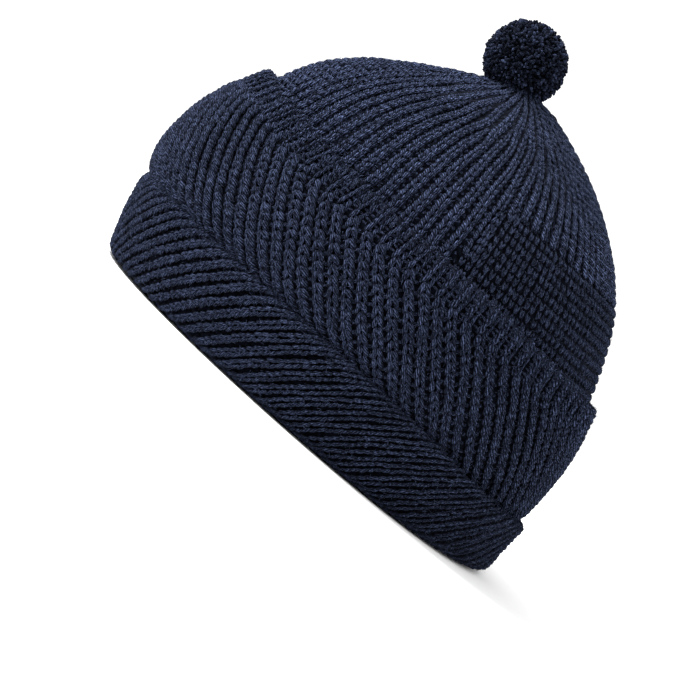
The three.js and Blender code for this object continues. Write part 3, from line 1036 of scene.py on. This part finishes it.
def stretch(where):
    """1 over the lower back of the crown, where its ribs are pulled flat, and 0 elsewhere."""
    return smooth(where[..., 1], 0.010, 0.026) * (1 - smooth(where[..., 2], 0.127, 0.137))


def rib_cells(ribs, to_top):
    """The middle and the width, as angles, of each rib of the crown at some distances from its top. A rib
    that runs into its neighbours narrows onto its own middle, and they take its place."""
    edges = uneven(np.arange(ribs + 1)[:, None] / ribs * TURN) + np.zeros(len(to_top))
    golden = (math.sqrt(5) - 1) / 2
    for level, row in enumerate(RIB_ENDS):
        step = 2**level
        for k, rib in enumerate(range(step, ribs, 2 * step)):
            at_back = smooth(math.sin(rib / ribs * TURN), 0.1, 0.6)
            end = lerp(row["near"], row["far"], k * golden % 1) * lerp(1, 0.5, at_back)
            width = smooth(to_top, end, end + row["fade"])
            middle = (edges[rib] + edges[rib + 1]) / 2
            moved = slice(rib - step + 1, rib + step + 1)
            edges[moved] = lerp(middle, edges[moved], width)
        edges[0] = edges[-1] - TURN
    return (edges[1:] + edges[:-1]) / 2, edges[1:] - edges[:-1]


def toward_gather(face, angle, along):
    """Moves places on the crown so that its ribs meet forward of the top, where the pompom is tied, and
    those of its back fan out from there toward the nape."""
    reach = face.reach[0] - along
    fade = lambda row: 1 - smooth(reach, row["near"], row["far"])
    fan = fade(GATHER_FAN) * np.cos(angle) * smooth(np.sin(angle), -0.5, 0.8)
    angle = angle - GATHER_FAN["most"] * fan
    shift = GATHER_LEAN["most"] * fade(GATHER_LEAN)
    across, forward = reach * np.cos(angle), reach * np.sin(angle) - shift
    return np.arctan2(forward, across) % TURN, face.reach[0] - np.hypot(across, forward)


def crown_grid(face, depth):
    """Places of the crown's stitches, in courses of one depth, and of the purl bumps beside them."""
    ribs = bpy.context.scene.cap_knit.ribs
    ahead = 0.001
    small_turn = lambda turn: (turn + math.pi) % TURN - math.pi
    fine = np.arange(0, face.reach[0], DRIFT_STEP)
    centre, width = rib_cells(ribs, face.reach[0] - fine)
    drift = np.gradient(centre, DRIFT_STEP, axis=1)
    end = face.reach[0] - TIERS["crown"]["margin"]
    rib, along = grid(np.arange(ribs), np.arange(TIERS["crown"]["start"], end, depth))
    step = np.clip(np.round(along / DRIFT_STEP).astype(int), 0, len(fine) - 1)
    angle = centre[rib, step] + stray("crown", rib, along)
    half = width[rib, step] / 2
    ahead_angle, ahead_along = toward_gather(face, angle + drift[rib, step] * ahead, along + ahead)
    purl_angle, purl_along = toward_gather(face, angle + half, along)
    other_angle, _ = toward_gather(face, angle - half, along)
    angle, along = toward_gather(face, angle, along)
    around = face.around(angle, along)
    where = face.sample(face.points, angle, along)
    size = np.clip(width[rib, step] * ribs / TURN, 0, 1)
    forward = (ahead_along - along) * face.sample(face.metric_along, angle, along)
    places = {
        "angle": angle, "along": along, "cell": around * np.abs(small_turn(purl_angle - other_angle)),
        "purl_angle": purl_angle, "purl_along": purl_along, "stretched": stretch(where),
        "lean": np.arctan2(small_turn(ahead_angle - angle) * around, forward),
        "sink": 0.0008 * (1 - smooth(size, 0.25, 0.9)),
    }
    return keep(places, (size > 0.22) & (where[:, 2] > tier_height(BAND_TOP, angle) - 0.005))


def beside(places):
    """The places in the gap beside each rib."""
    return {**places, "angle": places["purl_angle"], "along": places["purl_along"]}


def crown_stitches():
    """The stitches and purl bumps of the crown. Where it is stretched, each rib and each gap between two
    ribs has a column of small stitches, and no bumps show."""
    stitch = bpy.context.scene.cap_knit.stitch
    face = crown_face()
    rng = steady(7)
    ribbed = crown_grid(face, stitch)
    ribbed = keep(ribbed, ribbed["stretched"] <= 0.5)
    flat = crown_grid(face, stitch * 1.14)
    flat = keep(flat, flat["stretched"] > 0.5)
    near = 1 - smooth(face.reach[0] - ribbed["along"], 0.02, 0.05)
    back = smooth(np.sin(ribbed["angle"]), 0.1, 0.6) * (1 - near)
    pulled = ribbed["stretched"] * 2 * (1 - near)
    shape = shape_of_legs("crown", ("crown_pulled", pulled), ("crown_behind", back), ("crown_gather", near))
    half = lerp(lerp(0.72, 0.62, pulled), 0.8, np.maximum(back, near))
    knits = legs(ribbed, shape, half, -ribbed["sink"], rng)
    # Painted shade near the grooves reaches further in near the gather.
    knits["rim"] *= 1 - 0.22 * pair(near)
    knits["round"] += 180.0 * pair(back)
    knits["near_drop"] *= 1 - 0.5 * pair(back)
    sink = lerp(lerp(-0.0018, -0.0005, pulled), -0.0024, np.maximum(near, 0.7 * back))
    purls = bars(beside(ribbed), 0.16, lerp(0.0010, 0.0011, pulled), sink - ribbed["sink"], rng)
    groups = [knits]
    for places in (flat, beside(flat)):
        lean = places["lean"] + 0.08 * rng.normal(size=len(places["lean"]))
        groups.append(legs({**places, "lean": lean}, LEGS["flat_knit"], 0.55, 0.0, rng))
    join = keep(ribbed, ribbed["stretched"] > 0.25)
    groups.append(legs(beside(join), LEGS["flat_join"], 0.6, -0.0003, rng))
    knits = joined(groups)
    knits["radius"] = np.maximum(knits["radius"], 0.0006)
    return face, knits, purls


# Layers behind the stitches


def backing(name, heights, outs, columns, relief):
    """A closed layer through rings of heights and distances out, that run up its outer face and down
    its inner one. relief gives for each ring the depth of its ribs."""
    knit = bpy.context.scene.cap_knit
    rings = len(heights)
    bm = bmesh.new()
    bmesh.ops.create_grid(bm, x_segments=columns, y_segments=rings, size=1)
    bm.verts.ensure_lookup_table()
    at = np.array([v.co[:2] for v in bm.verts])
    around = np.round((at[:, 0] + 1) / 2 * columns).astype(int)
    ring = np.round((at[:, 1] + 1) / 2 * rings).astype(int) % rings
    angles = (around % columns) / columns * TURN
    pick = np.arange(len(angles))
    height, out = (
        np.array([v(angles) if callable(v) else np.full(len(angles), v) for v in lines])[ring, pick]
        for lines in (heights, outs)
    )
    depth = np.broadcast_to(relief, rings)[ring]
    place = layer_point(height, angles, out + depth * (np.cos(angles * knit.ribs) - 1) / 2)
    for v, co in zip(bm.verts, place):
        v.co = co
    uv = bm.loops.layers.uv.new("knit")
    for f in bm.faces:
        f.smooth = True
        for loop in f.loops:
            k = loop.vert.index
            loop[uv].uv = (around[k] / columns * knit.ribs, height[k] / knit.stitch)
    # inside is 1 on the inner face and 0 on the outer one, which the backing's material darkens as painted
    # shade.
    inside = bm.verts.layers.float.new("inside")
    for v in bm.verts:
        v[inside] = float(ring[v.index] >= rings / 2)
    bmesh.ops.remove_doubles(bm, verts=bm.verts, dist=1e-6)
    bmesh.ops.recalc_face_normals(bm, faces=bm.faces)
    return add_bmesh(name, bm)


def ring_levels(low, high, shares):
    return [lambda angle, s=s: lerp(low(angle), high(angle), s) for s in shares]


def crown_backing():
    rows = np.concatenate([np.linspace(0, 9, 28), np.linspace(9.2, 11.9, 12)])
    outside = [LAYER_FOOT] + [h for h in np.interp(rows, ROWS, HEIGHTS) if h > LAYER_FOOT]
    heights = outside + [CROWN_HEIGHT - 0.0012, CROWN_HEIGHT - CROWN_WALL] + outside[::-1]

    def outer(angle, height):
        flat = stretch(layer_point(np.full_like(angle, height), angle, 0.0))
        return lerp(-0.0026, -0.0012, np.maximum(flat, 0.8 * smooth(height, 0.147, 0.156)))

    outs = [lambda angle, h=h: outer(angle, h) for h in outside]
    outs += [-0.0026] + [-CROWN_WALL] * (len(outside) + 1)
    fade = lambda height: float(smooth(height, CROWN_HEIGHT * 0.99, CROWN_HEIGHT * 0.9))
    relief = [0.0004] * (len(outside) + 1) + [-0.0012 * fade(h) for h in heights[len(outside) + 1:]]
    return backing("crown_lining", heights, outs, columns=336, relief=relief)


def band_backing():
    low = lambda angle: np.full_like(angle, LAYER_FOOT)
    top = lambda angle: tier_height(BAND_TOP, angle)
    cuff = lambda angle: tier_height(CUFF_TOP, angle)
    outer = BAND_OUT - 0.0032
    outside = ring_levels(low, lambda a: cuff(a) - 0.004, np.linspace(0, 1, 6))
    outside += ring_levels(cuff, lambda a: top(a) - 0.003, np.linspace(0, 0.95, 24))
    outside += [lambda a: top(a) - 0.0018]
    outs = [lambda a, h=h: outer + puff(h(a), a) for h in outside[:-1]] + [outer, BAND_IN + 0.001]
    outs += [lambda a, h=h: BAND_IN + puff(h(a), a) for h in outside[-2::-1]]
    return backing("band_lining", outside + outside[::-1], outs, columns=336, relief=0.0003)


def cuff_backing():
    nape = lambda angle: smooth(np.sin(angle), 0.3, 0.9)
    inner = lambda angle: fold_round(angle) - 0.0014
    shift = lambda front, back: lambda a: lerp(front, back, nape(a))
    below = lambda front, back: lambda a: tier_height(CUFF_TOP, a) - lerp(front, back, nape(a))
    shares = np.linspace(0, 1, 12)
    wall = ring_levels(fold_round, below(CUFF_LIP, CUFF_LIP), shares)
    fold = [math.radians(d) for d in (90, 67, 45, 22)]

    def fold_out(angle, turn):
        return CUFF_OUT - lerp(0.0032, 0.0022, math.sin(turn)) - inner(angle) * (1 - math.cos(turn))

    def wall_out(angle, share):
        return CUFF_OUT - 0.0038 + 0.0013 * nape(angle) - 0.0018 * smooth(share, 0.4, 1) * (1 - nape(angle))

    heights = [0.0016] + [lambda a, d=d: fold_round(a) - inner(a) * math.sin(d) for d in fold] + wall
    heights += [below(0.0045, 0.0026), below(0.003, 0.0016), below(0.004, 0.0020)] + wall[::-1]
    heights += [FOLD_WALL, FOLD_WALL, FOLD_WALL - 0.001]
    outs = [-CROWN_WALL + FOLD_INSET + 0.001] + [lambda a, d=d: fold_out(a, d) for d in fold]
    outs += [lambda a, s=s: wall_out(a, s) for s in shares]
    outs += [shift(0.0070, 0.0104), shift(0.0062, 0.0085), CUFF_IN + 0.0001]
    outs += [CUFF_IN] * (len(wall) + 1) + [-CROWN_WALL + 0.0012] * 2
    return backing("cuff_lining", heights, outs, columns=168, relief=0.0)


# Steps


def dress(piece, node, material):
    piece.data.materials.append(material)
    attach(piece, "root")
    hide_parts(node)


def dress_layer(node, knitted, wool, fuzz, lining):
    colours = bpy.context.scene.cap_colours
    for piece in knitted:
        dress(piece, node, wool)
    dress(fuzz, node, once("wool_fuzz", fuzz_material, colours.fuzz))
    dress(lining, node, once("wool_backing", backing_material, colours.wool, colours.shadow))


def two_pieces(first, second, points, grooves, in_first, seed):
    """Two objects of the legs whose points are given. in_first tells which go into the first one."""
    tones = steady(seed).random(len(points))
    return [
        join_grains(name, LEG, points[has], grooves[has], tones[has])
        for name, has in ((first, in_first), (second, ~in_first))
    ]


def bump_piece(name, face, spots, seed):
    return join_grains(name, BAR, *lay(face, BAR, spots), steady(seed).random(len(spots["angle"])))


class MakeCrown(bpy.types.Operator):
    """Knits the crown: its stitches, the purl bumps between them and the layer behind"""

    bl_idname = "cap.make_crown"
    bl_label = "Crown"

    def execute(self, context):
        face, knits, purls = crown_stitches()
        points, grooves = lay(face, LEG, knits)
        ahead = points[:, 0, 1] <= PANEL_START
        ribs, back = two_pieces("crown_ribs", "crown_back", points, grooves, ahead, seed=11)
        bumps = bump_piece("crown_bumps", face, purls, seed=12)
        lining = crown_backing()
        above_band = lambda root, angle: root[:, 2] > tier_height(BAND_TOP, angle)
        fuzz = stray_fibres("crown_fuzz", face, above_band, low=0.0, count=11500, seed=14)
        # The crown's wool is painted lighter, by 1.09, as painted light.
        wool = wool_material("wool_right", -2.7, 1.09)
        dress_layer("crown", [ribs, back, bumps], wool, fuzz, lining)
        return {"FINISHED"}


class MakeBand(bpy.types.Operator):
    """Knits the band: its leaning ribs, the bend below its top edge and the layer behind"""

    bl_idname = "cap.make_band"
    bl_label = "Band"

    def execute(self, context):
        face, knits, purls = band_stitches()
        near_edge = knits["along"] < context.scene.cap_knit.band_bend + 0.002
        edge, ribs = two_pieces("band_edge", "band_ribs", *lay(face, LEG, knits), near_edge, seed=21)
        bumps = bump_piece("band_bumps", face, purls, seed=22)
        lining = band_backing()
        above_cuff = lambda root, angle: root[:, 2] > tier_height(CUFF_TOP, angle)
        fuzz = stray_fibres("band_fuzz", face, above_cuff, low=-0.004, count=6400, seed=24)
        # The band's wool is painted darker, by 0.92, as painted shade.
        wool = wool_material("wool_left", 2.7, 0.92)
        dress_layer("band", [edge, ribs, bumps], wool, fuzz, lining)
        return {"FINISHED"}


class MakeCuff(bpy.types.Operator):
    """Knits the cuff, from its rounded top edge round the fold that the cap rests on"""

    bl_idname = "cap.make_cuff"
    bl_label = "Cuff"

    def execute(self, context):
        face, knits, fold_start = cuff_stitches()
        on_wall = knits["along"] <= fold_start
        ribs, fold = two_pieces("cuff_ribs", "cuff_fold", *lay(face, LEG, knits), on_wall, seed=31)
        lining = cuff_backing()
        off_floor = lambda root, angle: root[:, 2] > 0.002
        fuzz = stray_fibres("cuff_fuzz", face, off_floor, low=-0.003, count=4400, seed=34)
        # The cuff shares the band's wool, painted darker by 0.92 as painted shade.
        wool = wool_material("wool_left", 2.7, 0.92)
        dress_layer("cuff", [ribs, fold], wool, fuzz, lining)
        return {"FINISHED"}


def even_directions(count):
    k = np.arange(count)
    height = 1 - (2 * k + 1) / count
    across = np.sqrt(1 - height**2)
    turn = k * math.pi * (3 - math.sqrt(5))
    return np.stack([across * np.cos(turn), across * np.sin(turn), height], axis=-1)


class MakePompom(bpy.types.Operator):
    """Ties the pompom: cut yarn ends that stand out from a dark ball, whose darkness is painted shade"""

    bl_idname = "cap.make_pompom"
    bl_label = "Pompom"

    def execute(self, context):
        colours, ball = context.scene.cap_colours, context.scene.cap_pompom
        tied_at = crown_point(TOP_ROW, 0.0)
        up = np.array([0, -math.sin(ball.lean), math.cos(ball.lean)])
        centre = tied_at + (ball.radius - ball.sink) * up
        rng = steady(41)
        toward = unit(even_directions(ball.ends) + 0.03 * rng.normal(size=(ball.ends, 3)))
        axis = unit(toward + 0.4 * rng.normal(size=(ball.ends, 3)).clip(-2, 2))
        side = unit(np.cross(axis, rng.normal(size=(ball.ends, 3))))
        other = np.cross(axis, side)
        tip = ball.radius * (0.9 + 0.115 * rng.random(ball.ends) ** 0.7)
        half = 0.0021 * (0.85 + 0.3 * rng.random(ball.ends))
        radius = ball.yarn * (0.8 + 0.45 * rng.random(ball.ends))
        middle = toward * tip[:, None] - axis * half[:, None]
        flare = YARN_END.thick * (1 + 0.12 * YARN_END.s)
        points = centre + middle[:, None, :]
        for way, size, shares in (
            (axis, half, YARN_END.s),
            (side, radius, flare * YARN_END.cos),
            (other, radius, flare * YARN_END.sin),
        ):
            points = points + way[:, None, :] * (size[:, None] * shares[None, :])[..., None]
        tones = rng.random(ball.ends)
        ends = join_grains("pompom_ends", YARN_END, points, np.zeros(points.shape[:2]), tones)
        # The heart lies inside the tips' reach, so the yarn material paints it all in the shadow colour as
        # painted shade.
        bm = bmesh.new()
        bmesh.ops.create_icosphere(bm, subdivisions=4, radius=ball.radius * 0.84)
        bmesh.ops.translate(bm, verts=bm.verts, vec=Vector(centre))
        bm.loops.layers.uv.new("yarn")
        for f in bm.faces:
            f.smooth = True
        heart = add_bmesh("pompom_heart", bm)
        # The pompom's wool is half as bright as the cap's: painted shade over the whole pompom.
        dark = tuple(0.5 * v for v in colours.wool)
        yarn = tuft_material("cut_yarn", dark, colours.fleck, colours.shadow, centre, ball.radius)
        dress(ends, "pompom", yarn)
        dress(heart, "pompom", yarn)
        return {"FINISHED"}


class MakeStudio(bpy.types.Operator):
    """Sets the floor, the soft lights and the camera"""

    bl_idname = "cap.make_studio"
    bl_label = "Studio"

    def execute(self, context):
        scene = context.scene
        studio = scene.cap_studio
        bm = bmesh.new()
        bmesh.ops.create_circle(bm, cap_ends=True, segments=96, radius=FLOOR_RADIUS)
        floor = add_bmesh("floor", bm)
        floor.data.materials.append(floor_material("pale_floor", scene.cap_colours.floor))
        floor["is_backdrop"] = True

        place, target = Vector(studio.camera), Vector(studio.target)
        ahead = (target - place).normalized()
        level = ahead.cross(Vector((0, 0, 1))).normalized()
        right = Matrix.Rotation(-studio.roll, 3, ahead) @ level
        up = right.cross(ahead)
        camera = add_object("camera", bpy.data.cameras.new("camera"))
        camera.matrix_world = Matrix(
            [[right[k], up[k], -ahead[k], place[k]] for k in range(3)] + [[0, 0, 0, 1]]
        )
        camera.data.lens = studio.lens
        camera.data.sensor_width = 36
        camera.data.clip_start = 0.05
        camera.data.clip_end = 30
        scene.camera = camera

        lamp = bpy.data.lights.new("key", "AREA")
        lamp.shape = "DISK"
        lamp.size = KEY_SIZE
        lamp.energy = studio.key
        key = add_object("key", lamp)
        toward = (up - ahead * 0.1).normalized()
        key.location = Vector((0, 0, 0.1)) + toward * KEY_DISTANCE
        key.rotation_euler = toward.to_track_quat("Z", "Y").to_euler()

        world = bpy.data.worlds.new("studio")
        world.use_nodes = True
        background = world.node_tree.nodes["Background"]
        background.inputs["Color"].default_value = (1, 1, 1, 1)
        background.inputs["Strength"].default_value = studio.sky
        scene.world = world
        scene.view_settings.view_transform = "Standard"
        return {"FINISHED"}


class CapPanel(bpy.types.Panel):
    """Lists the sizes and the steps that make the cap"""

    bl_idname = "VIEW3D_PT_knit_cap"
    bl_label = "Knit Cap"
    bl_space_type = "VIEW_3D"
    bl_region_type = "UI"
    bl_category = "Knit Cap"

    def draw(self, context):
        for name, group in GROUPS.items():
            for setting in group.__annotations__:
                self.layout.prop(getattr(context.scene, name), setting)
        for step in STEPS:
            self.layout.operator(step.bl_idname)


STEPS = (MakeStudio, MakeCrown, MakeBand, MakeCuff, MakePompom)
GROUPS = {
    "cap_knit": KnitSettings,
    "cap_colours": ColourSettings,
    "cap_pompom": PompomSettings,
    "cap_studio": StudioSettings,
}


def register():
    for name, group in GROUPS.items():
        bpy.utils.register_class(group)
        setattr(bpy.types.Scene, name, PointerProperty(type=group))
    for step in (*STEPS, CapPanel):
        bpy.utils.register_class(step)


def unregister():
    for step in reversed((*STEPS, CapPanel)):
        bpy.utils.unregister_class(step)
    for name, group in GROUPS.items():
        delattr(bpy.types.Scene, name)
        bpy.utils.unregister_class(group)


def main():
    register()
    bpy.ops.cap.make_studio()
    bpy.ops.cap.make_crown()
    bpy.ops.cap.make_band()
    bpy.ops.cap.make_cuff()
    bpy.ops.cap.make_pompom()
    corners = lambda box: [list(corner) for corner in box]
    {"solids": corners(SOLID_BOX), "dressed": corners(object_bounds())}


if __name__ == "__main__":
    main()
